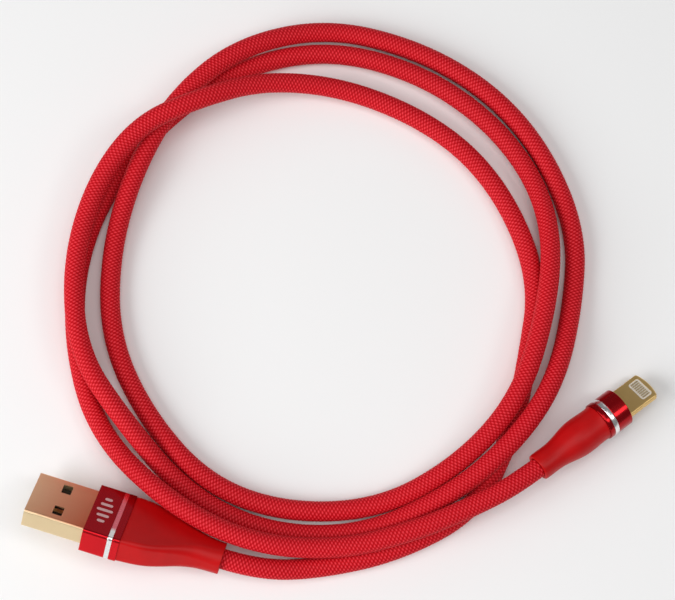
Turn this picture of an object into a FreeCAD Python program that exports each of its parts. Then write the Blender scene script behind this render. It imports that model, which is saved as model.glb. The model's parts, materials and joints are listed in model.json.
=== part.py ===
import FreeCAD, Part
import math
import os
import re

import Sketcher
from FreeCAD import Placement, Rotation, Vector

# A fabric-braided charging cable, about 1 m long, lying in three loose turns: a USB-A plug on one
# end and an eight-contact reversible device plug on the other. Millimetres, +Z up. The origin is
# on the surface that the cable lies on, midway between the two plugs.
#
# Each plug is drawn in its own frame: +X runs from the plug's tip to the cord, +Y across its width
# and +Z through its thickness, and X = 0 is where the cord leaves the boot. Stations count from
# the tip, so a station lies at X = station - length of the plug.

DRIVING_SIZES = {
    # the cord and what is inside both plugs
    "cord_diameter": 4.2,
    "wire_diameter": 0.8,
    "crimp_diameter": 4.9,
    "crimp_length": 3.0,
    "crimp_setback": 1.0,
    # shared by both plugs
    "bore_clearance": 0.04,
    "cut_overrun": 0.1,
    # USB-A plug: shell, tongue and contacts
    "usb_length": 40.8,
    "shell_width": 12.0,
    "shell_height": 4.5,
    "shell_wall": 0.3,
    "shell_fold": 0.55,
    "shell_inner_fold": 0.3,
    "shell_length": 18.75,
    "seam_width": 0.2,
    "seam_depth": 0.1,
    "seam_corner": 0.05,
    "latch_width": 2.5,
    "latch_length": 2.0,
    "latch_station": 6.4,
    "latch_spacing": 6.5,
    "latch_corner": 0.2,
    "tongue_height": 1.9,
    "tongue_setback": 0.7,
    "tongue_clearance": 0.1,
    "tongue_corner": 0.25,
    "contact_width": 1.0,
    "contact_height": 0.25,
    "outer_contact_start": 1.6,
    "inner_contact_start": 2.6,
    "contact_end": 19.8,
    # USB-A plug: collar, band, boot and inner mould
    "collar_station": 12.6,
    "collar_width": 14.4,
    "collar_height": 6.2,
    "collar_corner": 0.7,
    "collar_front": 5.2,
    "band_width": 1.0,
    "band_depth": 0.35,
    "boot_station": 20.3,
    "boot_step": 0.3,
    "mould_start": 19.9,
    "mould_end": 23.4,
    "mould_width": 10.8,
    "mould_height": 3.9,
    "mould_corner": 0.5,
    "tail_start": 29.0,
    "throat_width": 2.73,
    "throat_corner": 0.3,
    "wire_lap": 1.0,
    "usb_wire_bend": 1.8,
    # device plug: tab, insert plates and contact pads
    "device_length": 30.0,
    "tab_width": 6.7,
    "tab_height": 1.5,
    "tab_length": 10.4,
    "tip_radius": 10.0,
    "tab_corner": 0.6,
    "tab_edge": 0.3,
    "insert_width": 4.8,
    "insert_length": 2.7,
    "insert_station": 2.3,
    "insert_depth": 0.35,
    "insert_corner": 0.5,
    "pad_width": 0.34,
    "pad_length": 1.8,
    "pad_pitch": 0.53,
    "pad_height": 0.08,
    "notch_diameter": 0.8,
    "notch_station": 4.2,
    # device plug: collar, band, boot and what is inside them
    "ring_station": 8.0,
    "ring_diameter": 8.4,
    "ring_front": 3.5,
    "ring_band": 1.05,
    "ring_wall": 0.8,
    "slot_corner": 0.3,
    "sleeve_station": 13.7,
    "cavity_diameter": 7.0,
    "board_width": 5.4,
    "board_height": 0.8,
    "board_end": 16.0,
    "chip_side": 2.4,
    "chip_height": 0.6,
    "chip_setback": 0.7,
    "capacitor_length": 0.5,
    "capacitor_width": 0.8,
    "capacitor_height": 0.4,
    "capacitor_pitch": 0.9,
    "capacitor_setback": 0.8,
    "capacitor_offset": 1.6,
    "can_wall": 0.15,
    "can_clearance": 0.5,
    "can_height": 2.9,
    "can_corner": 0.6,
    "plug_mould_start": 16.9,
    "plug_mould_end": 18.3,
    "plug_mould_diameter": 5.8,
    "plug_tail_start": 21.5,
    "wire_joint": 1.4,
    "device_wire_bend": 0.9,
}

# How each plug lies: yaw, pitch and roll in degrees. The USB plug leans on the long edge of its
# collar, and the device plug rests on the rim of its collar with its boot held up by the cord.
USB_ANGLES = (-17.0, 4.0, -38.0)
DEVICE_ANGLES = (-142.6, -6.0, 20.0)

# The cord's line, from the USB boot to the device boot: three loose turns that cross each other
# at the upper left, at the right and beside the device plug.
CORD_ROUTE = [
    # out of the USB boot, down to the surface and along the near side
    (-24.5, -17.7, 5.15), (-17.3, -19.9, 4.62), (-5.5, -19.4, 2.1), (11.2, -15.8, 2.1),
    (27.3, -7.2, 2.1), (36.3, 7.4, 2.1), (40.6, 24.0, 2.1), (41.8, 42.0, 2.1),
    # first turn: inside at the far side, then over the other two at the upper left
    (34.4, 61.3, 2.1), (22.2, 75.1, 2.1), (3.0, 84.6, 2.1), (-16.0, 85.6, 6.0),
    (-31.0, 79.4, 11.0), (-43.5, 73.6, 10.4), (-52.5, 61.5, 7.2), (-56.9, 44.0, 6.4),
    (-55.0, 25.0, 6.5), (-45.2, 10.8, 5.4), (-32.6, -3.8, 2.1), (-15.5, -12.2, 2.1),
    (4.5, -12.5, 2.1), (22.9, -4.2, 4.4), (35.6, 6.4, 6.9), (44.2, 19.2, 5.6),
    # second turn: outside at the right and the far side, inside at the left
    (48.5, 36.0, 2.1), (49.8, 52.5, 2.1), (43.0, 70.6, 2.1), (31.8, 84.4, 2.1),
    (15.8, 94.2, 2.1), (-3.5, 99.0, 2.2), (-22.0, 93.2, 6.2), (-35.0, 82.0, 6.8),
    (-43.8, 66.8, 5.7), (-49.2, 49.0, 2.1), (-49.0, 29.5, 2.1), (-41.0, 12.4, 2.1),
    (-28.2, -1.9, 2.1), (-11.5, -7.9, 2.1), (8.0, -6.5, 2.1), (24.0, 2.6, 4.2),
    # third turn: between the other two, then over the USB boot's far shoulder
    (36.0, 14.6, 6.6), (42.6, 31.0, 6.5), (45.4, 49.5, 4.8), (41.0, 65.0, 2.1),
    (31.0, 78.4, 2.1), (16.0, 88.8, 2.1), (-3.0, 94.0, 2.1), (-22.0, 90.0, 2.1),
    (-36.5, 79.8, 2.1), (-48.5, 66.0, 2.1), (-56.2, 47.5, 2.1), (-56.6, 28.5, 2.1),
    (-51.2, 9.4, 2.1), (-36.1, -6.2, 7.5), (-19.5, -14.8, 6.9), (-1.0, -16.1, 5.3),
    # over the first stretch and up to the device boot
    (15.5, -12.0, 6.6), (28.6, -6.3, 6.9), (35.6, -2.5, 7.07), (40.0, 0.85, 6.483),
]
# The cord is one node per stretch. A stretch starts halfway along the run after each of these
# points, except the first, which starts at the boot.
STRETCH_STARTS = (0, 14, 29, 44)
ARC_SHARE = 0.45  # the part of the shorter run that an arc takes at each end
TUBE_TOLERANCE = 0.005  # how far a tube's volume may differ from section times length
SAME_PLACE = 1e-6

# Boot sections, from the collar to the cord: station, width, height, corner radius and how far the
# boot bows sideways.
USB_BOOT_SECTIONS = [
    ("boot_station", "collar_width - boot_step", "collar_height - boot_step", "collar_corner", "0"),
    ("boot_station + 4.6", "collar_width * 0.935", "collar_height * 0.97", "1.0", "0.15"),
    ("boot_station + 8.6", "collar_width * 0.785", "collar_height * 0.96", "1.3", "0.2"),
    ("boot_station + 12.4", "collar_width * 0.595", "collar_height * 0.96", "1.8", "0.3"),
    ("boot_station + 16.4", "collar_width * 0.465", "collar_height * 0.96", "2.3", "0.15"),
    ("usb_length", "collar_width * 0.43", "collar_height", "2.7", "0"),
]
DEVICE_BOOT_SECTIONS = [
    ("sleeve_station", "ring_diameter * 0.94"),
    ("sleeve_station + 3.8", "ring_diameter * 0.945"),
    ("sleeve_station + 6.8", "ring_diameter * 0.92"),
    ("sleeve_station + 8.8", "ring_diameter * 0.83"),
    ("sleeve_station + 10.6", "ring_diameter * 0.74"),
    ("sleeve_station + 13.0", "ring_diameter * 0.69"),
    ("device_length", "ring_diameter * 0.68"),
]

TONGUE_TOP = "(tongue_height + shell_wall - shell_height / 2)"
PAD_COUNT = 8
CAPACITOR_COUNT = 3

# The wires, where they run side by side behind each plug and where they enter the cord.
WIRE_NAMES = ("power_wire", "data_minus_wire", "data_plus_wire", "ground_wire")
USB_CONTACT_OFFSETS = (-3.5, -1.0, 1.0, 3.5)
DEVICE_WIRE_OFFSETS = (-1.8, -0.6, 0.6, 1.8)
CORE_OFFSET = 0.7  # of each wire from the cord's axis, both ways
WIRE_LAST_RUN = 0.25  # the straight share of a wire between its bend and the cord

doc = FreeCAD.newDocument("charging_cable")
sheet = doc.addObject("Spreadsheet::Sheet", "sizes")
for row, (alias, value) in enumerate(DRIVING_SIZES.items(), start=1):
    sheet.set("A%d" % row, alias)
    sheet.set("B%d" % row, str(value))
    sheet.setAlias("B%d" % row, alias)
doc.recompute()

sub_parts = []


def bound(text):
    """The expression with the sheet's name put before each of its aliases."""

    def with_sheet(word):
        return "sizes." + word.group() if word.group() in DRIVING_SIZES else word.group()

    return re.sub(r"[a-z_]+", with_sheet, text)


def number(text):
    """What an expression over the sheet's cells comes to."""
    result = sheet.evalExpression(bound(text))
    return float(getattr(result, "Value", result))


def keep(thing, label):
    """Name a finished sub-part and list it for writing."""
    thing.Label = label
    sub_parts.append(thing)
    return thing


# ---- PartDesign helpers -------------------------------------------------------------------------


def new_body(name, place):
    body = doc.addObject("PartDesign::Body", name)
    body.Placement = place
    return body


def new_sketch(body, plane, at):
    """A sketch on a plane of the body's own origin, moved by `at`: across, up and along its normal."""
    sketch = body.newObject("Sketcher::SketchObject", body.Name + "_sketch")
    support = next(item for item in body.Origin.OriginFeatures if item.Role == plane)
    sketch.AttachmentSupport = [(support, "")]
    sketch.MapMode = "FlatFace"
    for axis, text in zip("xyz", at):
        sketch.setExpression("AttachmentOffset.Base." + axis, bound(text))
    return sketch


def bind(sketch, index, name, text):
    sketch.renameConstraint(index, name)
    sketch.setExpression("Constraints." + name, bound(text))


def circle(body, plane, diameter, at):
    sketch = new_sketch(body, plane, at)
    sketch.addGeometry(Part.Circle(Vector(), Vector(0, 0, 1), number(diameter) / 2))
    sketch.addConstraint(Sketcher.Constraint("Coincident", 0, 3, -1, 1))
    index = sketch.addConstraint(Sketcher.Constraint("Diameter", 0, number(diameter)))
    bind(sketch, index, "diameter", diameter)
    return sketch


def rounded_rectangle(body, plane, width, height, corner, at):
    """Four corner arcs, geometry 0 to 3, and the four sides between them, geometry 4 to 7."""
    sketch = new_sketch(body, plane, at)
    radius = number(corner)
    right = number(width) / 2
    top = number(height) / 2
    centres = [(1, -1), (1, 1), (-1, 1), (-1, -1)]
    arcs = []
    for turn, (side, end) in enumerate(centres):
        centre = Vector(side * (right - radius), end * (top - radius), 0)
        rim = Part.Circle(centre, Vector(0, 0, 1), radius)
        start = (turn - 1) * math.pi / 2
        arcs.append(Part.ArcOfCircle(rim, start, start + math.pi / 2))
    sides = [Part.LineSegment(arcs[k].EndPoint, arcs[(k + 1) % 4].StartPoint) for k in range(4)]
    sketch.addGeometry(arcs + sides)
    rules = []
    for k in range(4):
        rules.append(Sketcher.Constraint("Tangent", k, 2, 4 + k, 1))
        rules.append(Sketcher.Constraint("Tangent", 4 + k, 2, (k + 1) % 4, 1))
        rules.append(Sketcher.Constraint("Horizontal" if k % 2 else "Vertical", 4 + k))
    for k in range(1, 4):
        rules.append(Sketcher.Constraint("Equal", 0, k))
    rules.append(Sketcher.Constraint("Symmetric", 0, 3, 2, 3, -1, 1))
    sketch.addConstraint(rules)
    for name, text, rule in (
        ("width", width, ("DistanceX", 6, 1, 4, 1, 2 * right)),
        ("height", height, ("DistanceY", 7, 1, 5, 1, 2 * top)),
        ("corner", corner, ("Radius", 0, radius)),
    ):
        bind(sketch, sketch.addConstraint(Sketcher.Constraint(*rule)), name, text)
    return sketch


def pad(body, sketch, length, symmetric=False):
    """Material from the sketch along its normal, or to both sides of it."""
    feature = body.newObject("PartDesign::Pad", body.Name + "_pad")
    feature.Profile = sketch
    feature.setExpression("Length", bound(length))
    if symmetric:
        feature.SideType = "Symmetric"
    return feature


def removes_material(body, make_feature):
    """Run a cut and stop if the body's volume stays the same."""
    doc.recompute()
    before = body.Shape.Volume
    feature = make_feature()
    doc.recompute()
    if not body.Shape.Volume < before - 1e-4:
        raise RuntimeError("%s cuts nothing from %s" % (feature.Name, body.Name))
    return feature


def pocket(body, sketch, length=None, symmetric=False):
    """A cut from the sketch along its normal, or right through the body both ways."""

    def make():
        feature = body.newObject("PartDesign::Pocket", body.Name + "_pocket")
        feature.Profile = sketch
        feature.Reversed = True
        if length is None:
            feature.Type = "ThroughAll"
        else:
            feature.setExpression("Length", bound(length))
        if symmetric:
            feature.SideType = "Symmetric"
        return feature

    return removes_material(body, make)


def loft(body, sketches, kind="AdditiveLoft"):
    feature = body.newObject("PartDesign::" + kind, body.Name + "_loft")
    feature.Profile = sketches[0]
    feature.Sections = sketches[1:]
    return feature


def fillet(body, edges, radius):
    """Round the tip feature's edges whose shapes the test `edges` picks."""
    doc.recompute()
    base = body.Tip
    names = ["Edge%d" % (k + 1) for k, edge in enumerate(base.Shape.Edges) if edges(edge)]
    feature = body.newObject("PartDesign::Fillet", body.Name + "_fillet")
    feature.Base = (base, names)
    feature.setExpression("Radius", bound(radius))
    return feature


# ---- Part helpers -------------------------------------------------------------------------------


def box(name, place, corner, length, width, height):
    """A block in the plug's frame: its lowest corner, and its sizes bound to the sheet."""
    thing = doc.addObject("Part::Box", name)
    for side, text in (("Length", length), ("Width", width), ("Height", height)):
        thing.setExpression(side, bound(text))
    thing.Placement = place * Placement(Vector(*[number(text) for text in corner]), Rotation())
    return thing


def group(name, things):
    """Several identical pieces that share one node."""
    thing = doc.addObject("Part::Compound", name)
    thing.Links = things
    return thing


def rounded_corner(before, corner, after):
    """The largest tidy arc at a corner: where it starts, its middle, where it ends, its radius."""
    back = before - corner
    ahead = after - corner
    reach = ARC_SHARE * min(back.Length, ahead.Length)
    half_turn = (math.pi - back.getAngle(ahead)) / 2
    radius = reach / math.tan(half_turn)
    back.normalize()
    ahead.normalize()
    inward = (back + ahead).normalize()
    middle = corner + inward * (radius / math.cos(half_turn) - radius)
    return corner + back * reach, middle, corner + ahead * reach, radius


def corners_of(points):
    return [rounded_corner(*points[k : k + 3]) for k in range(len(points) - 2)]


def tube(name, start, corners, end, diameter):
    """A round solid along straight runs and tangent arcs, checked against section times length."""
    edges = []
    for enter, middle, leave, _ in corners:
        edges.append(Part.LineSegment(start, enter).toShape())
        edges.append(Part.Arc(enter, middle, leave).toShape())
        start = leave
    edges.append(Part.LineSegment(start, end).toShape())
    path = Part.Wire(edges)
    first = edges[0].Curve.Direction
    section = Part.Wire([Part.makeCircle(diameter / 2, edges[0].Vertexes[0].Point, first)])
    solid = path.makePipeShell([section], True, False)
    expected = math.pi * diameter**2 / 4 * path.Length
    if abs(solid.Volume - expected) > TUBE_TOLERANCE * expected:
        raise RuntimeError("%s: volume %.2f, expected %.2f" % (name, solid.Volume, expected))
    thing = doc.addObject("Part::Feature", name)
    thing.Shape = solid
    return thing


# ---- USB-A plug ---------------------------------------------------------------------------------


def usb_at(station):
    return "(%s) - usb_length" % station


def usb_block(label, sections, opening=None):
    """A body of rounded blocks along the plug: (start, end, width, height, corner) each."""
    body = new_body(label, usb_place)
    for start, end, width, height, corner in sections:
        at = ("0", "0", usb_at(start))
        outline = rounded_rectangle(body, "YZ_Plane", width, height, corner, at)
        pad(body, outline, "(%s) - (%s)" % (end, start))
    if opening:
        width, height, corner = opening
        start, end = sections[0][0], sections[-1][1]
        at = ("0", "0", usb_at(start))
        outline = rounded_rectangle(body, "YZ_Plane", width, height, corner, at)
        pocket(body, outline, "(%s) - (%s)" % (end, start))
    return body


def make_usb_shell():
    """The folded sheet-metal shell, open at the mouth, with two latch windows on each broad face."""
    outer = ("0", "shell_length", "shell_width", "shell_height", "shell_fold")
    inner = ("shell_width - 2 * shell_wall", "shell_height - 2 * shell_wall", "shell_inner_fold")
    body = usb_block("usb_shell", [outer], inner)
    for side in ("", "-"):
        at = (usb_at("latch_station"), side + "latch_spacing / 2", "0")
        size = ("latch_length", "latch_width", "latch_corner")
        pocket(body, rounded_rectangle(body, "XY_Plane", *size, at), symmetric=True)
    # the fold's butt seam, a shallow line down the middle of the lower face
    seam_at = (usb_at("shell_length / 2"), "0", "-shell_height / 2")
    seam = ("shell_length + 2 * cut_overrun", "seam_width", "seam_corner")
    pocket(body, rounded_rectangle(body, "XY_Plane", *seam, seam_at), "seam_depth")
    return keep(body, "usb_shell")


def make_usb_contacts():
    """Four contact strips, flush in the tongue, the two outer ones reaching further forward."""
    names = ("usb_power_contact", "usb_data_minus_contact", "usb_data_plus_contact", "usb_ground_contact")
    contacts = []
    for name, offset in zip(names, USB_CONTACT_OFFSETS):
        outer = abs(offset) == max(USB_CONTACT_OFFSETS)
        start = "outer_contact_start" if outer else "inner_contact_start"
        side = "%s - contact_width / 2" % offset
        corner = (usb_at(start), side, TONGUE_TOP + " - contact_height")
        length = "contact_end - " + start
        strip = box(name, usb_place, corner, length, "contact_width", "contact_height")
        contacts.append(keep(strip, name))
    return contacts


def make_usb_tongue(contacts):
    """The insulator that carries the contacts, against the lower broad face of the shell."""
    blank = new_body("usb_tongue_blank", usb_place)
    at = ("0", TONGUE_TOP + " - tongue_height / 2", usb_at("tongue_setback"))
    size = ("shell_width - 2 * shell_wall - tongue_clearance", "tongue_height", "tongue_corner")
    outline = rounded_rectangle(blank, "YZ_Plane", *size, at)
    pad(blank, outline, "shell_length - tongue_setback")
    strips = doc.addObject("Part::MultiFuse", "usb_contact_grooves")
    strips.Shapes = contacts
    tongue = doc.addObject("Part::Cut", "usb_tongue")
    tongue.Base = blank
    tongue.Tool = strips
    return keep(tongue, "usb_tongue")


def make_usb_collar():
    """The anodised sleeve: a long front land, a neck under the bright band and a short rear land."""
    full = ("collar_width", "collar_height", "collar_corner")
    neck = ("collar_width - 2 * band_depth", "collar_height - 2 * band_depth", "collar_corner")
    front_end = "collar_station + collar_front"
    band_end = front_end + " + band_width"
    lands = [
        ("collar_station", front_end) + full,
        (front_end, band_end) + neck,
        (band_end, "boot_station") + full,
    ]
    opening = ("shell_width + bore_clearance", "shell_height + bore_clearance", "shell_fold")
    keep(usb_block("usb_collar", lands, opening), "usb_collar")
    band = [(front_end, band_end) + full]
    keep(usb_block("usb_bright_band", band, neck), "usb_bright_band")


def make_usb_inner_mould():
    """The stiff block behind the shell, with a straight hole for each wire."""
    outline = ("mould_start", "mould_end", "mould_width", "mould_height", "mould_corner")
    body = usb_block("usb_inner_mould", [outline])
    for offset in USB_CONTACT_OFFSETS:
        at = (str(offset), TONGUE_TOP + " + wire_diameter / 2", usb_at("mould_start"))
        hole = circle(body, "YZ_Plane", "wire_diameter", at)
        pocket(body, hole, "mould_end - mould_start")
    return keep(body, "usb_inner_mould")


def make_usb_boot():
    """The soft boot: a rounded wedge from the collar down to a round neck, hollow for what it holds."""
    body = new_body("usb_boot", usb_place)
    sections = [
        rounded_rectangle(body, "YZ_Plane", width, height, corner, (bow, "0", usb_at(station)))
        for station, width, height, corner, bow in USB_BOOT_SECTIONS
    ]
    loft(body, sections)
    mould = ("mould_width", "mould_height", "mould_corner")
    at = ("0", "0", usb_at("boot_station"))
    seat = rounded_rectangle(body, "YZ_Plane", *mould, at)
    pocket(body, seat, "mould_end - boot_station")
    wide = rounded_rectangle(body, "YZ_Plane", *mould, ("0", "0", usb_at("mould_end")))
    narrow_at = ("0", "0", usb_at("tail_start"))
    narrow = ("throat_width", "throat_width", "throat_corner")
    throat = rounded_rectangle(body, "YZ_Plane", *narrow, narrow_at)
    removes_material(body, lambda: loft(body, [wide, throat], "SubtractiveLoft"))
    bore = circle(body, "YZ_Plane", "cord_diameter", narrow_at)
    pocket(body, bore, "usb_length - tail_start")
    crimp_at = ("0", "0", usb_at("tail_start + crimp_setback"))
    pocket(body, circle(body, "YZ_Plane", "crimp_diameter", crimp_at), "crimp_length")
    return keep(body, "usb_boot")


def make_round_sleeve(label, place, start, length, outer, inner=None):
    """A plain round piece on the plug's axis, hollow if an inner diameter is given."""
    body = new_body(label, place)
    pad(body, circle(body, "YZ_Plane", outer, ("0", "0", start)), length)
    if inner:
        pocket(body, circle(body, "YZ_Plane", inner, ("0", "0", start)), length)
    return keep(body, label)


def make_wires(prefix, place, offsets, stations, height, plug_length):
    """Four wires: side by side from the contacts, then gathered into the end of the cord."""
    start, bend, tail = stations
    last_run = WIRE_LAST_RUN * (tail - bend)
    for name, offset in zip(WIRE_NAMES, offsets):
        entry_y = math.copysign(CORE_OFFSET, offset)
        entry_z = CORE_OFFSET if abs(offset) < max(offsets) else -CORE_OFFSET
        points = [
            Vector(start, offset, height),
            Vector(bend, offset, height),
            Vector(tail - last_run, entry_y, entry_z),
            Vector(tail, entry_y, entry_z),
        ]
        points = [place.multVec(point - Vector(plug_length, 0, 0)) for point in points]
        wire = tube(prefix + name, points[0], corners_of(points), points[-1], number("wire_diameter"))
        keep(wire, prefix + name)


def make_usb_plug():
    make_usb_shell()
    make_usb_tongue(make_usb_contacts())
    make_usb_collar()
    make_usb_inner_mould()
    make_usb_boot()
    tail = usb_at("tail_start")
    tail_length = "usb_length - tail_start"
    make_round_sleeve("usb_cord_tail", usb_place, tail, tail_length, "cord_diameter")
    crimp = ("crimp_length", "crimp_diameter", "cord_diameter")
    crimp_at = usb_at("tail_start + crimp_setback")
    make_round_sleeve("usb_crimp_ring", usb_place, crimp_at, *crimp)
    height = number(TONGUE_TOP + " + wire_diameter / 2")
    stations = ("mould_start - wire_lap", "mould_end + usb_wire_bend", "tail_start")
    stations = [number(text) for text in stations]
    length = number("usb_length")
    make_wires("usb_", usb_place, USB_CONTACT_OFFSETS, stations, height, length)


# ---- device plug --------------------------------------------------------------------------------


def device_at(station):
    return "(%s) - device_length" % station


def tab_plan(body):
    """The tab from above: a shallow arc for a tip, about the sketch's origin, and three sides."""
    sketch = new_sketch(body, "XY_Plane", (device_at("tip_radius"), "0", "0"))
    radius = number("tip_radius")
    side = number("tab_width") / 2
    back = number("tab_length - tip_radius")
    half_angle = math.asin(side / radius)
    rim = Part.Circle(Vector(), Vector(0, 0, 1), radius)
    tip = Part.ArcOfCircle(rim, math.pi - half_angle, math.pi + half_angle)
    corners = [tip.EndPoint, Vector(back, -side, 0), Vector(back, side, 0), tip.StartPoint]
    sketch.addGeometry([tip] + [Part.LineSegment(*corners[k : k + 2]) for k in range(3)])
    rules = [Sketcher.Constraint("Coincident", k, 2, (k + 1) % 4, 1) for k in range(4)]
    rules.append(Sketcher.Constraint("Coincident", 0, 3, -1, 1))
    rules.append(Sketcher.Constraint("Horizontal", 1))
    rules.append(Sketcher.Constraint("Horizontal", 3))
    rules.append(Sketcher.Constraint("Symmetric", 2, 1, 2, 2, -1))
    sketch.addConstraint(rules)
    for name, text, rule in (
        ("tip", "tip_radius", ("Radius", 0, radius)),
        ("width", "tab_width", ("DistanceY", 2, 1, 2, 2, 2 * side)),
        ("back", "tab_length - tip_radius", ("DistanceX", -1, 1, 2, 1, back)),
    ):
        bind(sketch, sketch.addConstraint(Sketcher.Constraint(*rule)), name, text)
    return sketch


def make_device_tab():
    """The plated tab: curved tip, a shallow window on each broad face, a notch in each side."""
    body = new_body("device_tab", device_place)
    pad(body, tab_plan(body), "tab_height", symmetric=True)
    half_height = number("tab_height") / 2
    middle = number(device_at("tab_length / 2"))

    def is_tip_corner(edge):
        centre = edge.CenterOfMass
        return abs(centre.z) < SAME_PLACE and centre.x < middle

    fillet(body, is_tip_corner, "tab_corner")
    fillet(body, lambda edge: abs(abs(edge.CenterOfMass.z) - half_height) < SAME_PLACE, "tab_edge")
    for side in ("", "-"):
        at = (device_at("notch_station"), side + "(tab_width / 2 + notch_diameter / 4)", "0")
        pocket(body, circle(body, "XY_Plane", "notch_diameter", at), symmetric=True)
    for depth in ("tab_height / 2 - insert_depth", "-tab_height / 2"):
        at = (device_at("insert_station"), "0", depth)
        size = ("insert_length", "insert_width", "insert_corner")
        window = rounded_rectangle(body, "XY_Plane", *size, at)
        pocket(body, window, "insert_depth")
    return keep(body, "device_tab")


def make_device_inserts():
    """The insulating plate in each window and its eight contact pads, on both broad faces."""
    plate_height = "insert_depth - pad_height"
    for side, plate_low, pad_low in (
        ("upper", "tab_height / 2 - insert_depth", "tab_height / 2 - pad_height"),
        ("lower", "pad_height - tab_height / 2", "-tab_height / 2"),
    ):
        label = "device_%s_insert" % side
        body = new_body(label, device_place)
        at = (device_at("insert_station"), "0", plate_low)
        size = ("insert_length", "insert_width", "insert_corner")
        pad(body, rounded_rectangle(body, "XY_Plane", *size, at), plate_height)
        keep(body, label)
        pads = []
        for k in range(PAD_COUNT):
            across = "(%s) * pad_pitch - pad_width / 2" % (k - (PAD_COUNT - 1) / 2)
            corner = (device_at("insert_station - pad_length / 2"), across, pad_low)
            name = "device_%s_pad_%d" % (side, k + 1)
            pads.append(box(name, device_place, corner, "pad_length", "pad_width", "pad_height"))
        keep(group("device_%s_contact_pads" % side, pads), "device_%s_contact_pads" % side)


def make_device_collar():
    """The round anodised collar, closed at the front round the tab, and its bright band."""
    front_end = "ring_station + ring_front"
    band_end = front_end + " + ring_band"
    neck = "ring_diameter - 2 * band_depth"
    body = new_body("device_collar", device_place)
    for start, end, diameter in (
        ("ring_station", front_end, "ring_diameter"),
        (front_end, band_end, neck),
        (band_end, "sleeve_station", "ring_diameter"),
    ):
        outline = circle(body, "YZ_Plane", diameter, ("0", "0", device_at(start)))
        pad(body, outline, "(%s) - (%s)" % (end, start))
    cavity_at = ("0", "0", device_at("ring_station + ring_wall"))
    cavity = circle(body, "YZ_Plane", "cavity_diameter", cavity_at)
    pocket(body, cavity, "sleeve_station - ring_station - ring_wall")
    slot_at = ("0", "0", device_at("ring_station - cut_overrun"))
    slot_size = ("tab_width + bore_clearance", "tab_height + bore_clearance", "slot_corner")
    slot = rounded_rectangle(body, "YZ_Plane", *slot_size, slot_at)
    pocket(body, slot, "ring_wall + 2 * cut_overrun")
    keep(body, "device_collar")
    start = device_at(front_end)
    make_round_sleeve("device_bright_band", device_place, start, "ring_band", "ring_diameter", neck)


def make_device_board():
    """The small circuit board behind the tab, with its chip, capacitors and shielding can."""
    board_top = "board_height / 2"
    corner = (device_at("tab_length"), "-board_width / 2", "-board_height / 2")
    length = "board_end - tab_length"
    board = box("device_board", device_place, corner, length, "board_width", "board_height")
    keep(board, "device_circuit_board")
    corner = (device_at("tab_length + chip_setback"), "-chip_side / 2", board_top)
    chip = box("device_chip", device_place, corner, "chip_side", "chip_side", "chip_height")
    keep(chip, "device_controller_chip")
    capacitors = []
    size = ("capacitor_length", "capacitor_width", "capacitor_height")
    for k in range(CAPACITOR_COUNT):
        start = "tab_length + capacitor_setback + %d * capacitor_pitch" % k
        name = "device_capacitor_%d" % (k + 1)
        corner = (device_at(start), "capacitor_offset", board_top)
        capacitors.append(box(name, device_place, corner, *size))
    keep(group("device_capacitors", capacitors), "device_capacitors")
    can = new_body("device_shield_can", device_place)
    at = ("0", "0", device_at("tab_length"))
    width = "board_width + can_clearance"
    outline = (width + " + 2 * can_wall", "can_height + 2 * can_wall", "can_corner")
    pad(can, rounded_rectangle(can, "YZ_Plane", *outline, at), length)
    inside = (width, "can_height", "can_corner - can_wall")
    pocket(can, rounded_rectangle(can, "YZ_Plane", *inside, at), length)
    keep(can, "device_shield_can")


def make_device_inner_mould():
    """The round block behind the board, with a straight hole for each wire."""
    body = new_body("device_inner_mould", device_place)
    start = device_at("plug_mould_start")
    length = "plug_mould_end - plug_mould_start"
    pad(body, circle(body, "YZ_Plane", "plug_mould_diameter", ("0", "0", start)), length)
    for offset in DEVICE_WIRE_OFFSETS:
        at = (str(offset), "board_height / 2 + wire_diameter / 2", start)
        pocket(body, circle(body, "YZ_Plane", "wire_diameter", at), length)
    keep(body, "device_inner_mould")


def make_device_boot():
    """The soft boot: a round sleeve that necks down to the cord, hollow for what it holds."""
    body = new_body("device_boot", device_place)
    sections = [
        circle(body, "YZ_Plane", diameter, ("0", "0", device_at(station)))
        for station, diameter in DEVICE_BOOT_SECTIONS
    ]
    loft(body, sections)
    crimp_start = "plug_tail_start + crimp_setback"
    for start, end, diameter in (
        ("sleeve_station", "plug_mould_start", "cavity_diameter"),
        ("plug_mould_start", "plug_mould_end", "plug_mould_diameter"),
        ("plug_tail_start", "device_length", "cord_diameter"),
        (crimp_start, crimp_start + " + crimp_length", "crimp_diameter"),
    ):
        outline = circle(body, "YZ_Plane", diameter, ("0", "0", device_at(start)))
        pocket(body, outline, "(%s) - (%s)" % (end, start))
    wide = circle(body, "YZ_Plane", "plug_mould_diameter", ("0", "0", device_at("plug_mould_end")))
    throat = circle(body, "YZ_Plane", "cord_diameter", ("0", "0", device_at("plug_tail_start")))
    removes_material(body, lambda: loft(body, [wide, throat], "SubtractiveLoft"))
    keep(body, "device_boot")


def make_device_plug():
    make_device_tab()
    make_device_inserts()
    make_device_collar()
    make_device_board()
    make_device_inner_mould()
    make_device_boot()
    tail = device_at("plug_tail_start")
    tail_length = "device_length - plug_tail_start"
    make_round_sleeve("device_cord_tail", device_place, tail, tail_length, "cord_diameter")
    crimp = ("crimp_length", "crimp_diameter", "cord_diameter")
    crimp_at = device_at("plug_tail_start + crimp_setback")
    make_round_sleeve("device_crimp_ring", device_place, crimp_at, *crimp)
    height = number("board_height / 2 + wire_diameter / 2")
    stations = ("board_end - wire_joint", "plug_mould_end + device_wire_bend", "plug_tail_start")
    stations = [number(text) for text in stations]
    length = number("device_length")
    make_wires("device_", device_place, DEVICE_WIRE_OFFSETS, stations, height, length)


# ---- cord ---------------------------------------------------------------------------------------


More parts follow.
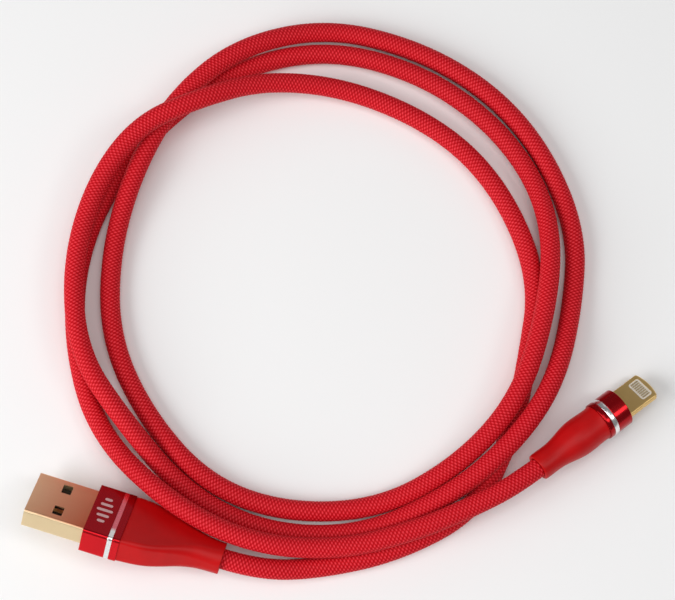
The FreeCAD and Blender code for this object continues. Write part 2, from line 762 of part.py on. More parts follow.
def make_cord():
    """The free cord in four stretches that meet end face to end face."""
    points = [Vector(*point) for point in CORD_ROUTE]
    corners = corners_of(points)
    cuts = [points[0]] + [(points[k] + points[k + 1]) / 2 for k in STRETCH_STARTS[1:]] + [points[-1]]
    ends = STRETCH_STARTS[1:] + (len(points) - 1,)
    diameter = number("cord_diameter")
    length = 0.0
    for k, (first, last) in enumerate(zip(STRETCH_STARTS, ends)):
        name = "cord_stretch_%d" % (k + 1)
        stretch = keep(tube(name, cuts[k], corners[first:last], cuts[k + 1], diameter), name)
        length += stretch.Shape.Volume / (math.pi * diameter**2 / 4)
    radii = [corner[3] for corner in corners]
    print("free cord %.0f mm, arc radii %s" % (length, [round(radius) for radius in radii]))


usb_place = Placement(Vector(*CORD_ROUTE[0]), Rotation(*USB_ANGLES))
device_place = Placement(Vector(*CORD_ROUTE[-1]), Rotation(*DEVICE_ANGLES))
make_usb_plug()
make_device_plug()
make_cord()
doc.recompute()

faults = [item.Name for item in doc.Objects if {"Invalid", "Error"} & set(item.State)]
faults += [part.Label for part in sub_parts if part.Shape.isNull() or not part.Shape.isValid()]
if faults:
    raise RuntimeError("failed: " + ", ".join(faults))

os.makedirs("parts", exist_ok=True)
for part in sub_parts:
    part.Shape.exportStep("parts/%s.step" % part.Label)
print("%d sub-parts written" % len(sub_parts))
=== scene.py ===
import json
import math

import bmesh
import bpy
import numpy as np
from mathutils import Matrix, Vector


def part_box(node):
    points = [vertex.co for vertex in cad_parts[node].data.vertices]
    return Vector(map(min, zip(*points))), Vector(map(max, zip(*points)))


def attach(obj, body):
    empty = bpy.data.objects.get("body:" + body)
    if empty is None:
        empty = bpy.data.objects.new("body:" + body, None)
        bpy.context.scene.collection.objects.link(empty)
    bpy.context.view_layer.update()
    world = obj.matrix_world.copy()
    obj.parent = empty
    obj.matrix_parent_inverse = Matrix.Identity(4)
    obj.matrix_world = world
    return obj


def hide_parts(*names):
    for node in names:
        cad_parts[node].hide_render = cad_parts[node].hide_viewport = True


# The looks of the charging cable: a braided cord modelled yarn by yarn, soft moulded boots,
# anodised collars with a bright band, and plated plugs. Metres, in the frame of the CAD model.

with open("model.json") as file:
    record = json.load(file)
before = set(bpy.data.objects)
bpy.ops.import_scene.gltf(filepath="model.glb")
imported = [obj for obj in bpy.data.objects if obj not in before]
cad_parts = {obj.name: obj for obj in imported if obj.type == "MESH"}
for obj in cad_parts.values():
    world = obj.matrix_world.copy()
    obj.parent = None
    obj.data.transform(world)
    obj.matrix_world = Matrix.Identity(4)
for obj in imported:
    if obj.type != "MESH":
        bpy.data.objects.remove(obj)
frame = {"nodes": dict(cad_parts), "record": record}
nodes = frame["nodes"]
mounts = {mount["name"]: mount for mount in frame["record"]["mounts"]}
slot_of = {row["node"]: row["material_slot"] for row in frame["record"]["subparts"]}
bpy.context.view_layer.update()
MM = 0.001

# ---- camera -------------------------------------------------------------------------------------

CAMERA_TARGET = Vector((-1.08, 38.15, 0)) * MM
CAMERA_DISTANCE = 480 * MM
CAMERA_ELEVATION = math.radians(75)
CAMERA_LENS = 120.8
SENSOR_WIDTH = 36
NEAREST_SEEN = 0.01
FARTHEST_SEEN = 20


def make_camera():
    data = bpy.data.cameras.new("camera")
    data.lens = CAMERA_LENS
    data.sensor_width = SENSOR_WIDTH
    data.clip_start = NEAREST_SEEN
    data.clip_end = FARTHEST_SEEN
    camera = bpy.data.objects.new("camera", data)
    bpy.context.scene.collection.objects.link(camera)
    back = Vector((0, -math.cos(CAMERA_ELEVATION), math.sin(CAMERA_ELEVATION)))
    camera.location = CAMERA_TARGET + back * CAMERA_DISTANCE
    camera.rotation_euler = (math.pi / 2 - CAMERA_ELEVATION, 0, 0)
    bpy.context.scene.camera = camera


# ---- cord's line --------------------------------------------------------------------------------

CORD_DIAMETER = 4.2 * MM
# The points of the CAD model's route in millimetres, some moved by up to 2 mm to sit as the real
# strands do. They are turned into metres below.
CORD_ROUTE = [
    # out of the USB boot, down to the surface and along the near side
    (-24.5, -17.7, 5.15), (-17.3, -19.9, 4.62), (-5.5, -19.4, 2.1), (11.2, -15.8, 2.1),
    (27.3, -7.2, 2.1), (35.0, 8.2, 2.1), (38.7, 24.2, 2.1), (41.6, 42.0, 2.1),
    # first turn: inside at the far side, then over the other two at the upper left
    (34.4, 61.3, 2.1), (22.2, 75.1, 2.1), (3.0, 84.6, 2.1), (-16.0, 85.6, 6.0),
    (-31.0, 79.4, 11.0), (-43.5, 73.6, 10.4), (-52.5, 61.5, 7.2), (-56.9, 44.0, 6.4),
    (-55.0, 25.0, 6.5), (-45.2, 10.8, 5.4), (-32.6, -3.8, 2.1), (-15.5, -12.2, 2.1),
    (4.5, -12.5, 2.1), (22.9, -4.2, 4.8), (35.6, 6.4, 7.0), (44.2, 19.2, 5.6),
    # second turn: outside at the right and the far side, inside at the left
    (48.5, 36.0, 2.1), (49.8, 52.5, 2.1), (43.0, 70.6, 2.1), (31.8, 84.4, 2.1),
    (15.8, 94.2, 2.1), (-3.5, 99.0, 2.2), (-22.0, 93.2, 6.2), (-35.0, 82.0, 6.8),
    (-43.8, 66.8, 5.7), (-49.2, 49.0, 2.1), (-49.0, 29.5, 2.1), (-41.0, 12.4, 2.1),
    (-28.2, -1.9, 2.1), (-11.5, -7.9, 2.1), (8.1, -6.9, 2.1), (24.4, 2.0, 4.8),
    # third turn: between the other two, then over the USB boot's far shoulder
    (36.0, 14.6, 6.6), (41.9, 31.2, 6.5), (44.6, 49.5, 4.8), (41.0, 65.0, 2.1),
    (31.0, 78.4, 2.1), (16.0, 88.8, 2.1), (-3.0, 94.0, 2.1), (-22.0, 90.0, 2.1),
    (-36.5, 79.8, 2.1), (-48.5, 66.0, 2.1), (-56.2, 47.5, 2.1), (-56.6, 28.5, 2.1),
    (-51.2, 9.4, 2.1), (-36.1, -6.2, 7.5), (-19.5, -14.8, 6.9), (-1.0, -16.1, 5.3),
    # over the first stretch and up to the device boot
    (15.5, -12.0, 6.6), (28.6, -6.3, 6.9), (35.6, -2.5, 7.07), (40.0, 0.85, 6.483),
]
LINE_STEPS = 64  # points read from the spline between two of its control points


def read_cord_line():
    """The points of the smooth spline that has the route's points as its control points."""
    curve = bpy.data.curves.new("cord_line", "CURVE")
    curve.dimensions = "3D"
    curve.resolution_u = LINE_STEPS
    spline = curve.splines.new("NURBS")
    spline.points.add(len(CORD_ROUTE) - 1)
    for point, place in zip(spline.points, CORD_ROUTE):
        point.co = (*(Vector(place) * MM), 1)
    spline.order_u = 3
    spline.use_endpoint_u = True
    holder = bpy.data.objects.new("cord_line", curve)
    mesh = bpy.data.meshes.new_from_object(holder)
    line = np.array([vertex.co for vertex in mesh.vertices])
    bpy.data.objects.remove(holder)
    bpy.data.meshes.remove(mesh)
    return line


def arc_lengths(points):
    steps = np.linalg.norm(np.diff(points, axis=0), axis=1)
    return np.concatenate([[0], np.cumsum(steps)])


def along(line, stations):
    """Points and unit tangents of the line at these distances from its start."""
    distance = arc_lengths(line)
    slopes = np.gradient(line, distance, axis=0)
    points = np.stack([np.interp(stations, distance, line[:, k]) for k in range(3)], 1)
    tangents = np.stack([np.interp(stations, distance, slopes[:, k]) for k in range(3)], 1)
    return points, tangents / np.linalg.norm(tangents, axis=1)[:, None]


def carried_frames(tangents):
    """Two unit vectors across the line at each point, carried along it without twist."""
    across = np.cross(tangents[0], (0, 0, 1.0))
    sides = np.empty_like(tangents)
    for k, tangent in enumerate(tangents):
        across = across - np.dot(across, tangent) * tangent
        across = across / np.linalg.norm(across)
        sides[k] = across
    return sides, np.cross(tangents, sides)


# ---- node helpers -------------------------------------------------------------------------------


class Shader:
    """A material with one Principled shader, and short calls that add nodes to it."""

    def __init__(self, name):
        self.material = bpy.data.materials.new(name)
        self.material.use_nodes = True
        self.tree = self.material.node_tree
        self.tree.nodes.clear()
        self.surface = self.tree.nodes.new("ShaderNodeBsdfPrincipled")
        output = self.tree.nodes.new("ShaderNodeOutputMaterial")
        self.link(self.surface.outputs[0], output.inputs["Surface"])

    def link(self, source, target):
        self.tree.links.new(source, target)

    def give(self, target, value):
        """Link a socket's output, or set a plain value."""
        if isinstance(value, bpy.types.NodeSocket):
            self.link(value, target)
        else:
            target.default_value = value

    def set(self, **values):
        """Give values to the shader's own sockets, by their names with _ for each space."""
        for name, value in values.items():
            self.give(self.surface.inputs[name.replace("_", " ")], value)

    def math(self, operation, *values):
        node = self.tree.nodes.new("ShaderNodeMath")
        node.operation = operation
        for socket, value in zip(node.inputs, values):
            self.give(socket, value)
        return node.outputs[0]

    def place(self):
        """The point on the object, in metres."""
        return self.tree.nodes.new("ShaderNodeTexCoord").outputs["Object"]

    def noise(self, scale, detail=2.0, roughness=0.5, vector=None):
        """Smooth noise from 0 to 1. The scale is about how many of its grains make a metre."""
        node = self.tree.nodes.new("ShaderNodeTexNoise")
        node.inputs["Scale"].default_value = scale
        node.inputs["Detail"].default_value = detail
        node.inputs["Roughness"].default_value = roughness
        self.give(node.inputs["Vector"], self.place() if vector is None else vector)
        return node.outputs["Fac"]

    def stretched(self, direction, share):
        """The point on the object with its distance along a direction cut to a share."""
        dot = self.tree.nodes.new("ShaderNodeVectorMath")
        dot.operation = "DOT_PRODUCT"
        self.link(self.place(), dot.inputs[0])
        dot.inputs[1].default_value = direction
        lift = self.tree.nodes.new("ShaderNodeVectorMath")
        lift.operation = "SCALE"
        lift.inputs[0].default_value = direction
        self.give(lift.inputs["Scale"], self.math("MULTIPLY", dot.outputs["Value"], share - 1))
        added = self.tree.nodes.new("ShaderNodeVectorMath")
        added.operation = "ADD"
        self.link(self.place(), added.inputs[0])
        self.link(lift.outputs[0], added.inputs[1])
        return added.outputs[0]

    def painted_light(self, tone, colour, *spans):
        """The tone, turning to a colour towards the ends of all the spans at once: painted shade and
        painted reflections laid on a face.
        """
        share = 1.0
        for start, end in spans:
            share = self.math("MULTIPLY", self.share_between(start, end), share)
        return self.mix(share, tone, colour)

    def share_between(self, start, end):
        """0 at the start, 1 at the end, by the distance along the line between them."""
        span = end - start
        dot = self.tree.nodes.new("ShaderNodeVectorMath")
        dot.operation = "DOT_PRODUCT"
        self.link(self.place(), dot.inputs[0])
        dot.inputs[1].default_value = span / span.length_squared
        offset = start.dot(span) / span.length_squared
        share = self.math("SUBTRACT", dot.outputs["Value"], offset)
        return self.math("MINIMUM", self.math("MAXIMUM", share, 0.0), 1.0)

    def attribute(self, name):
        node = self.tree.nodes.new("ShaderNodeAttribute")
        node.attribute_name = name
        return node.outputs["Fac"]

    def ramp(self, value, *stops):
        """Colours at positions from 0 to 1."""
        node = self.tree.nodes.new("ShaderNodeValToRGB")
        elements = node.color_ramp.elements
        while len(elements) < len(stops):
            elements.new(0.5)
        for element, (position, colour) in zip(elements, stops):
            element.position = position
            element.color = (*colour, 1)
        self.link(value, node.inputs[0])
        return node.outputs["Color"]

    def levels(self, value, low, high):
        """A value from 0 to 1 mapped to the range from low to high."""
        node = self.tree.nodes.new("ShaderNodeMapRange")
        node.inputs["To Min"].default_value = low
        node.inputs["To Max"].default_value = high
        self.link(value, node.inputs["Value"])
        return node.outputs["Result"]

    def mix(self, share, one, other):
        node = self.tree.nodes.new("ShaderNodeMix")
        node.data_type = "RGBA"
        self.give(node.inputs[0], share)
        for socket, value in ((node.inputs[6], one), (node.inputs[7], other)):
            self.give(socket, value if isinstance(value, bpy.types.NodeSocket) else (*value, 1))
        return node.outputs[2]

    def bump(self, height, strength, distance):
        """Relief on the surface from a height, as deep as the distance in metres."""
        node = self.tree.nodes.new("ShaderNodeBump")
        node.inputs["Strength"].default_value = strength
        node.inputs["Distance"].default_value = distance
        self.link(height, node.inputs["Height"])
        self.link(node.outputs[0], self.surface.inputs["Normal"])
        return self


def middle_of(node):
    low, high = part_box(node)
    return (Vector(low) + Vector(high)) / 2


class PlugFrame:
    """A plug's own axes: +X from its tip to the cord, +Y across its width, +Z through it."""

    def __init__(self, mount, upward):
        self.tip = Vector(mounts[mount]["pos_m"])
        self.along = -Vector(mounts[mount]["axis"]).normalized()
        self.up = (upward - upward.dot(self.along) * self.along).normalized()
        self.across = self.up.cross(self.along)

    def point(self, station, across, up):
        return self.tip + station * self.along + across * self.across + up * self.up

    def local(self, place):
        offset = place - self.tip
        return offset.dot(self.along), offset.dot(self.across), offset.dot(self.up)

    def extent(self, node):
        """A node's lowest and highest coordinates along the plug's three axes."""
        places = np.array([self.local(vertex.co) for vertex in nodes[node].data.vertices])
        return places.min(axis=0).tolist(), places.max(axis=0).tolist()


contact_row = middle_of("usb_ground_contact") - middle_of("usb_power_contact")
usb_along = -Vector(mounts["usb_plug"]["axis"])
usb = PlugFrame("usb_plug", usb_along.cross(contact_row))
device = PlugFrame(
    "device_plug", middle_of("device_upper_contact_pads") - middle_of("device_lower_contact_pads")
)


# ---- materials ----------------------------------------------------------------------------------

PAINTED_LIGHT_STARTS = 0.3 * MM  # how far under an upper face the painted shade and reflections on it start to show
PAINTED_LIGHT_FILLS = 0.05 * MM  # how far under it the painted shade and reflections are complete


def braid_material():
    """Polyester yarn with fine fibres along it. Its colour follows the yarn's height: painted shade,
    dark in the gaps and deep red down the flanks, and a painted highlight on the crowns.
    """
    shader = Shader("red_braid")
    height = shader.attribute("yarn_height")
    batch = shader.noise(60, 3)
    # Painted shade in the gaps and down the flanks, and a painted highlight on the crowns, by the
    # yarn's height.
    colour = shader.ramp(
        height,
        (0.15, (0.10, 0.0, 0.002)),
        (0.5, (0.31, 0.0, 0.004)),
        (0.8, (0.54, 0.001, 0.006)),
        (0.97, (0.86, 0.05, 0.07)),
    )
    shade = shader.mix(shader.levels(batch, 0.0, 0.25), colour, (0.50, 0.003, 0.009))
    shader.set(Base_Color=shade, Roughness=shader.levels(batch, 0.5, 0.68))
    shader.set(Sheen_Weight=0.04, Sheen_Roughness=0.4, Sheen_Tint=(1.0, 0.3, 0.3, 1))
    shader.set(Specular_IOR_Level=0.1)
    return shader.bump(shader.noise(9000, 3), 0.35, 0.06 * MM).material


def boot_material(name, colour, roughness):
    """A soft-touch moulding: fine spark-eroded grain, slight unevenness and paler rubbed spots."""
    shader = Shader(name)
    wear = shader.noise(140, 4, 0.6)
    tone = shader.ramp(
        wear,
        (0.3, tuple(0.88 * c for c in colour)),
        (0.7, tuple(min(1, 1.08 * c) for c in colour)),
    )
    shader.set(Base_Color=tone, Roughness=shader.levels(wear, roughness - 0.07, roughness + 0.07))
    shader.set(Subsurface_Weight=0.04, Subsurface_Radius=(2 * MM, 0.4 * MM, 0.3 * MM))
    shader.set(Specular_IOR_Level=0.22)
    return shader.bump(shader.noise(7000, 2), 0.12, 0.02 * MM).material


def top_face(plug, node):
    """The span through a piece that ends at its upper face."""
    top = plug.extent(node)[1][2]
    return plug.point(0, 0, top - PAINTED_LIGHT_STARTS), plug.point(0, 0, top - PAINTED_LIGHT_FILLS)


def anodised_material(name, colour, axis, painted_light=None):
    """Anodised aluminium: coloured metal with faint turning lines and a dusty grain. An optional
    painted shade is a colour and the spans towards whose ends the tone turns to it.
    """
    shader = Shader(name)
    lines = shader.noise(2600, 2, vector=shader.stretched(axis, 6.0))
    cloud = shader.noise(220, 3)
    tone = shader.mix(cloud, tuple(0.8 * c for c in colour), colour)
    if painted_light:
        tone = shader.painted_light(tone, *painted_light)
    shader.set(Base_Color=tone, Metallic=0.85, Roughness=shader.levels(lines, 0.17, 0.24))
    shader.set(Coat_Weight=0.08, Coat_Roughness=0.25)
    return shader.bump(lines, 0.02, 0.01 * MM).material


def metal_material(name, dark, light, roughness, axis, line_scale=1800, painted_light=None):
    """Bare or plated metal with fine lines along an axis and a soft variation in tone. An optional
    painted reflection is a colour and the spans towards whose ends the tone turns to it."""
    shader = Shader(name)
    lines = shader.noise(line_scale, 3, vector=shader.stretched(axis, 0.05))
    cloud = shader.noise(90, 3)
    tone = shader.mix(shader.levels(cloud, 0.0, 1.0), dark, light)
    if painted_light:
        tone = shader.painted_light(tone, *painted_light)
    shader.set(Base_Color=tone, Metallic=1.0)
    shader.set(Roughness=shader.levels(lines, roughness - 0.06, roughness + 0.08))
    return shader.bump(lines, 0.06, 0.01 * MM).material


def plastic_material(name, colour, roughness):
    """A moulding with a fine grain and a slight change of tone."""
    shader = Shader(name)
    cloud = shader.noise(300, 3)
    tone = shader.mix(cloud, tuple(0.9 * c for c in colour), colour)
    shader.set(Base_Color=tone, Roughness=shader.levels(cloud, roughness - 0.05, roughness + 0.05))
    return shader.bump(shader.noise(5000, 2), 0.1, 0.02 * MM).material


def shell_material():
    """Gold plating with a painted red reflection on its upper face, growing towards the near side of
    the collar.
    """
    far_tip = usb.point(-4 * MM, 5 * MM, 0)
    near_collar = usb.point(14 * MM, -5 * MM, 0)
    # Painted red reflection on the shell's upper face, strongest by the near side of the collar.
    painted_light = ((0.56, 0.12, 0.055), (far_tip, near_collar), top_face(usb, "usb_shell"))
    return metal_material(
        "plated_shell", (0.90, 0.68, 0.40), (0.95, 0.78, 0.50), 0.38, usb.along, painted_light=painted_light
    )


def collar_materials():
    """The anodised finish and the bright band of each plug. The upper face of the USB collar is painted
    darker than its sides as painted shade, and most of the upper face of its band is painted pink as a
    painted reflection of the red around it."""
    # Painted shade: the USB collar's upper face darker than its sides.
    usb_collar_painted_shade = ((0.34, 0.0, 0.006), top_face(usb, "usb_collar"))
    # Painted reflection: pink over most of the upper face of the USB band.
    painted_pink_starts = usb.point(0, -5 * MM, 0)
    painted_pink_fills = usb.point(0, -4 * MM, 0)
    usb_band_painted_reflection = (
        (0.80, 0.20, 0.24),
        (painted_pink_starts, painted_pink_fills),
        top_face(usb, "usb_bright_band"),
    )
    finishes = {}
    for end, axis, red, collar_painted_shade, band_painted_reflection in (
        ("usb", usb.along, (0.74, 0.006, 0.014), usb_collar_painted_shade, usb_band_painted_reflection),
        ("device", device.along, (0.46, 0.002, 0.006), None, None),
    ):
        name = end + "_red_anodised"
        finishes[name] = anodised_material(name, red, axis, collar_painted_shade)
        name = end + "_bright_band"
        finishes[name] = metal_material(
            name, (0.86, 0.86, 0.86), (0.95, 0.95, 0.94), 0.24, axis, painted_light=band_painted_reflection
        )
    return finishes


def plated_materials():
    """The other metals: two tones, roughness, the axis of the lines and their scale."""
    return {
        name: metal_material(name, *look)
        for name, *look in (
            ("plated_tab", (0.66, 0.42, 0.15), (0.90, 0.64, 0.27), 0.38, device.along),
            ("contact_gold", (0.80, 0.62, 0.38), (0.90, 0.74, 0.48), 0.3, device.along, 4000),
            ("can_steel", (0.5, 0.5, 0.5), (0.62, 0.62, 0.62), 0.35, device.along),
            ("crimp_steel", (0.4, 0.4, 0.4), (0.55, 0.55, 0.55), 0.4, usb.along),
        )
    }


def plastic_materials():
    """The mouldings, wires and ink: colour and roughness."""
    return {
        name: plastic_material(name, colour, roughness)
        for name, colour, roughness in (
            ("tongue_plastic", (0.012, 0.010, 0.010), 0.5),
            ("insert_plastic", (0.76, 0.70, 0.60), 0.3),
            ("mould_plastic", (0.70, 0.68, 0.60), 0.55),
            ("board_green", (0.01, 0.11, 0.04), 0.3),
            ("chip_black", (0.012, 0.012, 0.013), 0.5),
            ("capacitor_tan", (0.34, 0.22, 0.12), 0.45),
            ("wire_red", (0.5, 0.01, 0.01), 0.4),
            ("wire_white", (0.8, 0.8, 0.8), 0.4),
            ("wire_green", (0.01, 0.2, 0.03), 0.4),
            ("wire_black", (0.01, 0.01, 0.01), 0.4),
            ("printed_ink", (0.66, 0.42, 0.42), 0.45),
        )
    }


def make_materials():
    """Every finish, by its material slot or, on the collars, by its plug and slot."""
    return {
        "braid": braid_material(),
        "boot_rubber": boot_material("boot_rubber", (0.52, 0.002, 0.003), 0.42),
        "plated_shell": shell_material(),
        **collar_materials(),
        **plated_materials(),
        **plastic_materials(),
    }


def assign_node_materials(finishes):
    """One finish per CAD node, chosen by its material slot or by which plug it is on."""
    for name, node in nodes.items():
        slot = slot_of[name]
        if slot in ("red_anodised", "bright_band"):
            slot = name.split("_")[0] + "_" + slot
        node.data.materials.clear()
        node.data.materials.append(finishes[slot])


# ---- braided cord -------------------------------------------------------------------------------

CARRIERS = 10  # yarns wound each way round
YARN_PITCH = 0.78 * MM  # from yarn to yarn along the cord
ROUND_STEPS = 8 * CARRIERS  # points round the cord, eight to each yarn
ROW_STEP = YARN_PITCH / 5  # from ring to ring of points along it
YARN_HALF_WIDTH = 1 / 1.9  # as a share of the pitch, so that neighbours just overlap
YARN_RELIEF = 0.22 * MM  # how far a yarn's crown stands over its edge
WAVE_RELIEF = 0.13 * MM  # how far it rises and dips over and under the others
TWIST = 110.0  # how fast the whole braid turns, radians per metre
TWIST_SWAY = 0.6  # radians by which the turning runs ahead and falls behind
SWAY_LENGTH = 0.07  # metres of cord for each radian of the sway
CREST_RADIUS = CORD_DIAMETER / 2 + 0.02 * MM


def braid_height(turns, stations):
    """Height of the braid's surface, 0 in the gaps to 1 on the crowns: each yarn goes over one and
    under one. `turns` is the angle round the cord in turns, `stations` the distance along it."""
    one = CARRIERS * turns + stations / YARN_PITCH
    other = CARRIERS * turns - stations / YARN_PITCH
    share = WAVE_RELIEF / YARN_RELIEF
    heights = []
    for mine, theirs, sign in ((one, other, 1), (other, one, -1)):
        yarn = np.round(mine)
        crown = np.sqrt(np.clip(1 - ((mine - yarn) / YARN_HALF_WIDTH) ** 2, 0, 1))
        wave = sign * np.cos(math.pi * (yarn + theirs))
        heights.append(crown + share * wave)
    top = np.maximum(*heights)
    return np.clip((top + share) / (1 + 2 * share), 0, 1)


def grid_faces(rows, columns):
    """Quads of a tube of `rows` rings of `columns` points each."""
    ring = np.arange(columns)
    after = (ring + 1) % columns
    start = np.arange(rows - 1)[:, None] * columns
    quads = np.stack([start + ring, start + after, start + columns + after, start + columns + ring], -1)
    return quads.reshape(-1, 4)


def mesh_from(name, points, quads):
    mesh = bpy.data.meshes.new(name)
    mesh.vertices.add(len(points))
    mesh.vertices.foreach_set("co", points.astype(np.float32).ravel())
    mesh.loops.add(quads.size)
    mesh.loops.foreach_set("vertex_index", quads.astype(np.int32).ravel())
    mesh.polygons.add(len(quads))
    mesh.polygons.foreach_set("loop_start", np.arange(0, quads.size, 4, dtype=np.int32))
    mesh.polygons.foreach_set("loop_total", np.full(len(quads), 4, dtype=np.int32))
    mesh.polygons.foreach_set("use_smooth", np.ones(len(quads), dtype=bool))
    mesh.update(calc_edges=True)
    piece = bpy.data.objects.new(name, mesh)
    bpy.context.scene.collection.objects.link(piece)
    return piece


def close_ends(mesh, rows):
    """A flat face over each end of the tube."""
    shell = bmesh.new()
    shell.from_mesh(mesh)
    shell.verts.ensure_lookup_table()
    first = shell.verts[:ROUND_STEPS]
    last = shell.verts[(rows - 1) * ROUND_STEPS : rows * ROUND_STEPS]
    shell.faces.new(first[::-1])
    shell.faces.new(last)
    shell.to_mesh(mesh)
    shell.free()


def make_cord(line, material):
    """The whole free cord as one tube along the line, with every yarn in relief."""
    length = arc_lengths(line)[-1]
    rows = int(length / ROW_STEP) + 1
    stations = np.linspace(0, length, rows)
    points, tangents = along(line, stations)
    sides, ups = carried_frames(tangents)
    turns = np.arange(ROUND_STEPS)[None, :] / ROUND_STEPS
    height = braid_height(turns, stations[:, None])
    radius = CREST_RADIUS - (1 - height) * YARN_RELIEF
    twist = TWIST * stations + TWIST_SWAY * np.sin(stations / SWAY_LENGTH)
    angle = 2 * math.pi * turns + twist[:, None]
    out = sides[:, None] * np.cos(angle)[:, :, None] + ups[:, None] * np.sin(angle)[:, :, None]
    surface = points[:, None] + out * radius[:, :, None]
    cord = mesh_from("cord_braid", surface.reshape(-1, 3), grid_faces(rows, ROUND_STEPS))
    # The yarn's height, which the braid's material turns into painted shade in the gaps and a painted
    # highlight on the crowns.
    shade = cord.data.attributes.new("yarn_height", "FLOAT", "POINT")
    shade.data.foreach_set("value", height.astype(np.float32).ravel())
    close_ends(cord.data, rows)
    cord.data.materials.append(material)
    return cord


# ---- plug housings ------------------------------------------------------------------------------

SHARP_EDGE = math.radians(32)
FLAT_JOIN = math.radians(0.6)
WELD_GAP = 0.0005 * MM
EDGE_SEGMENTS = 3
# How far each outer piece's sharp edges are rounded.
EDGE_ROUNDING = {
    "usb_shell": 0.07 * MM,
    "usb_collar": 0.08 * MM,
    "usb_bright_band": 0.08 * MM,
    "usb_boot": 0.20 * MM,
    "device_tab": 0.05 * MM,
    "device_collar": 0.14 * MM,
    "device_bright_band": 0.10 * MM,
    "device_boot": 0.22 * MM,
}


def apply_modifiers(piece):
    depsgraph = bpy.context.evaluated_depsgraph_get()
    done = bpy.data.meshes.new_from_object(piece.evaluated_get(depsgraph))
    piece.modifiers.clear()
    piece.data = done


def round_edges(node, rounding):
    """A copy of a CAD piece with its flat facets joined and its sharp edges rounded."""
    piece = bpy.data.objects.new(node + "_finished", nodes[node].data.copy())
    bpy.context.scene.collection.objects.link(piece)
    shell = bmesh.new()
    shell.from_mesh(piece.data)
    bmesh.ops.remove_doubles(shell, verts=shell.verts, dist=WELD_GAP)
    bmesh.ops.dissolve_limit(
        shell, angle_limit=FLAT_JOIN, verts=shell.verts, edges=shell.edges, delimit=set()
    )
    sharp = [edge for edge in shell.edges if edge.calc_face_angle(0) > SHARP_EDGE]
    bmesh.ops.bevel(
        shell,
        geom=sharp,
        offset=rounding,
        segments=EDGE_SEGMENTS,
        profile=0.5,
        affect="EDGES",
        clamp_overlap=True,
    )
    bmesh.ops.dissolve_degenerate(shell, edges=shell.edges, dist=WELD_GAP)
    bmesh.ops.remove_doubles(shell, verts=shell.verts, dist=WELD_GAP)
    for face in shell.faces:
        face.smooth = True
    shell.to_mesh(piece.data)
    shell.free()
    piece.data.set_sharp_from_angle(angle=SHARP_EDGE)
    normals = piece.modifiers.new("normals", "WEIGHTED_NORMAL")
    normals.keep_sharp = True
    normals.weight = 100
    apply_modifiers(piece)
    return piece


# The print on the USB collar: a row of short bars, each as long as its number says.
MARK_BARS = (1.6 * MM, 2.6 * MM, 3.4 * MM, 2.6 * MM, 1.6 * MM)
MARK_PITCH = 1.6 * MM
MARK_WIDTH = 0.7 * MM
MARK_HEIGHT = 0.03 * MM
MARK_SINK = 0.02 * MM  # how far its underside is in the collar
MARK_STEPS = 10  # sides of a bar's rounded end


def bar_outline(middle, across, length):
    """A bar with round ends: places along and across the plug."""
    radius = MARK_WIDTH / 2
    outline = []
    for end in (1, -1):
        for step in range(MARK_STEPS + 1):
            turn = math.pi * (step / MARK_STEPS - 0.5)
            reach = length / 2 - radius + radius * math.cos(turn)
            outline.append((middle + end * reach, across + end * radius * math.sin(turn)))
    return outline


def make_printed_mark(material):
    """A generic print in the middle of the collar's front land."""
    collar_low, collar_high = usb.extent("usb_collar")
    band_low, _ = usb.extent("usb_bright_band")
    middle = (collar_low[0] + band_low[0]) / 2
    surface = collar_high[2]
    shell = bmesh.new()
    for index, length in enumerate(MARK_BARS):
        across = (index - (len(MARK_BARS) - 1) / 2) * MARK_PITCH
        outline = bar_outline(middle, across, length)
        under, over = (
            [shell.verts.new(usb.point(*place, surface + lift)) for place in outline]
            for lift in (-MARK_SINK, MARK_HEIGHT)
        )
        shell.faces.new(under[::-1])
        shell.faces.new(over)
        for k in range(len(outline)):
            shell.faces.new((under[k - 1], under[k], over[k], over[k - 1]))
    bmesh.ops.recalc_face_normals(shell, faces=shell.faces)
    mesh = bpy.data.meshes.new("usb_printed_mark")
    shell.to_mesh(mesh)
    shell.free()
    mesh.materials.append(material)
    mark = bpy.data.objects.new("usb_printed_mark", mesh)
    bpy.context.scene.collection.objects.link(mark)
    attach(mark, "root")


def finish_housings():
    """The outer pieces with rounded edges, by the names of the nodes that they replace."""
    pieces = {}
    for node, rounding in EDGE_ROUNDING.items():
        piece = round_edges(node, rounding)
        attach(piece, "root")
        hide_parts(node)
        pieces[node] = piece
    return pieces


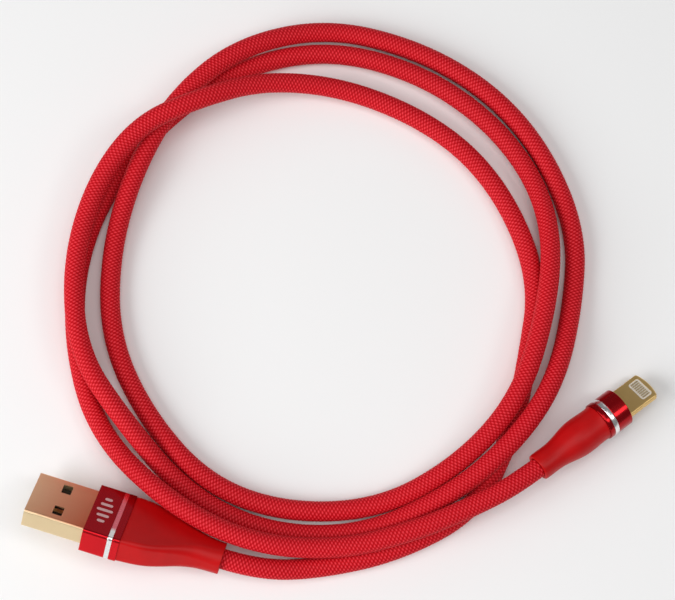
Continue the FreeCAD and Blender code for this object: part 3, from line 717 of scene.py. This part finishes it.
# ---- stage --------------------------------------------------------------------------------------


FLOOR_REACH = 3.0
# Each light's name, place, size and power. The streak light shows along the device plug's collar.
LIGHTS = (
    ("key", (-0.6, -0.25, 0.42), 0.6, 5.2),
    ("overhead", (0.1, -0.1, 1.1), 0.8, 4.0),
    ("back", (0.4, 1.1, 0.3), 0.9, 1.1),
    ("streak", (0.60, -0.09, 0.72), 0.24, 0.9),
)
WORLD_STRENGTH = 0.2


def make_floor():
    mesh = bpy.data.meshes.new("floor")
    corners = [(x * FLOOR_REACH, y * FLOOR_REACH, 0) for x, y in ((-1, -1), (1, -1), (1, 1), (-1, 1))]
    mesh.from_pydata(corners, [], [(0, 1, 2, 3)])
    floor = bpy.data.objects.new("floor", mesh)
    bpy.context.scene.collection.objects.link(floor)
    shader = Shader("floor")
    shader.set(Base_Color=(0.93, 0.93, 0.93, 1), Roughness=0.9, Specular_IOR_Level=0.1)
    mesh.materials.append(shader.material)


def make_light(name, place, size, power):
    """A square soft light that faces the middle of the cable."""
    data = bpy.data.lights.new(name, "AREA")
    data.size = size
    data.energy = power
    lamp = bpy.data.objects.new(name, data)
    bpy.context.scene.collection.objects.link(lamp)
    lamp.location = place
    aim = CAMERA_TARGET - Vector(place)
    lamp.rotation_euler = aim.to_track_quat("-Z", "Y").to_euler()


def make_lights():
    for light in LIGHTS:
        make_light(*light)
    world = bpy.data.worlds.new("world")
    world.use_nodes = True
    background = world.node_tree.nodes["Background"]
    background.inputs["Color"].default_value = (1, 1, 1, 1)
    background.inputs["Strength"].default_value = WORLD_STRENGTH
    bpy.context.scene.world = world
    bpy.context.scene.view_settings.view_transform = "Standard"


# ---- the scene ----------------------------------------------------------------------------------

make_camera()
cord_line = read_cord_line()
materials = make_materials()
assign_node_materials(materials)
cord = make_cord(cord_line, materials["braid"])
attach(cord, "root")
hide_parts(*[name for name in nodes if name.startswith("cord_stretch")])
seen = {**nodes, **finish_housings()}
make_printed_mark(materials["printed_ink"])
make_floor()
make_lights()
